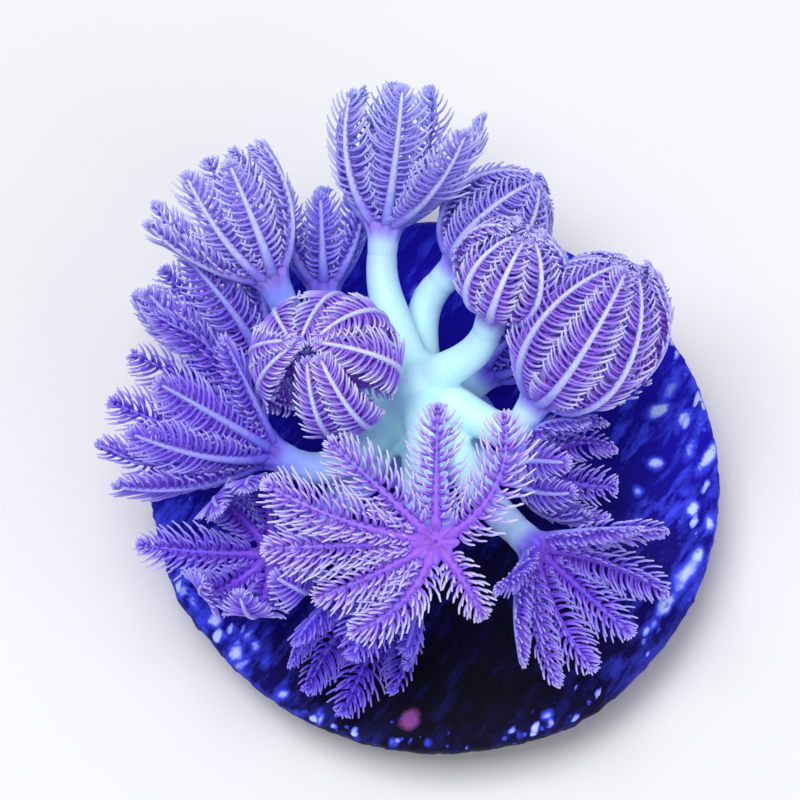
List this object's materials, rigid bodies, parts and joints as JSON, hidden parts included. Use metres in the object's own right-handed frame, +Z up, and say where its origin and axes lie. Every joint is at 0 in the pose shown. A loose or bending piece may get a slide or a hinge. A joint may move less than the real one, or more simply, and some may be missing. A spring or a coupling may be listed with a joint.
{
  "type": "soft coral colony on disc",
  "caption": "Pulsing soft coral colony: a short trunk that branches into smooth stems with feathery eight-armed crowns, grown on a round ceramic disc with a flat underside.",
  "frame": {"origin": "middle of the disc's flat underside", "axes": "+Z up out of the disc, +Y away from the pictured front, +X to the right"},
  "size_m": [0.035, 0.0366, 0.0217],
  "materials": {
    "disc": "matt deep blue with pale worn specks and a worn rim",
    "flesh": "smooth wet pale cyan flesh, a little translucent",
    "crown": "soft lavender fringes, magenta-violet inside"
  },
  "bodies": {
    "root": {"frag_disc": "disc", "trunk": "flesh", "stem_flower": "flesh", "stem_right": "flesh", "stem_knob": "flesh", "stem_north_east": "flesh", "stem_rear": "flesh", "stem_north_west": "flesh", "stem_west": "flesh", "stem_south_west": "flesh", "stem_south_east": "flesh", "stem_south": "flesh", "stem_east": "flesh", "stem_under_west": "flesh", "stem_back_bud": "flesh", "crown_flower": "crown", "crown_crest": "crown", "crown_right": "crown", "crown_knob": "crown", "crown_north_east": "crown", "crown_rear": "crown", "crown_north_west": "crown", "crown_west": "crown", "crown_south_west": "crown", "crown_south_east": "crown", "crown_south": "crown", "crown_east": "crown", "crown_under_west": "crown", "crown_back_bud": "crown", "crown_bud": "crown"}
  },
  "joints": []
}
